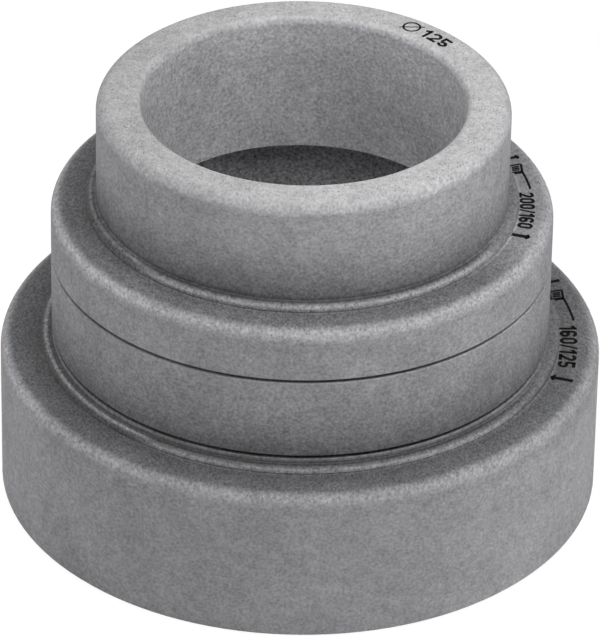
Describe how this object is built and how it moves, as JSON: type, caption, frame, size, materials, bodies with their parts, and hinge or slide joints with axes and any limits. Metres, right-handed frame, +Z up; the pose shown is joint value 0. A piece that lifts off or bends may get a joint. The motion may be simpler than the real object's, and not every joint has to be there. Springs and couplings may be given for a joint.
{
  "type": "stepped duct reducer",
  "caption": "Moulded foam duct reducer: three stacked round tiers on one axis with a stepped bore, cut to size along fine guide grooves.",
  "frame": {"origin": "centre of the underside, where the widest duct size enters", "axes": "+Z up along the axis of all three tiers, towards the smallest one"},
  "size_m": [0.234, 0.234, 0.1685],
  "materials": {
    "foam": "matt moulded bead foam with a fine speckle"
  },
  "bodies": {
    "root": {"reducer_body": "foam"}
  },
  "joints": []
}
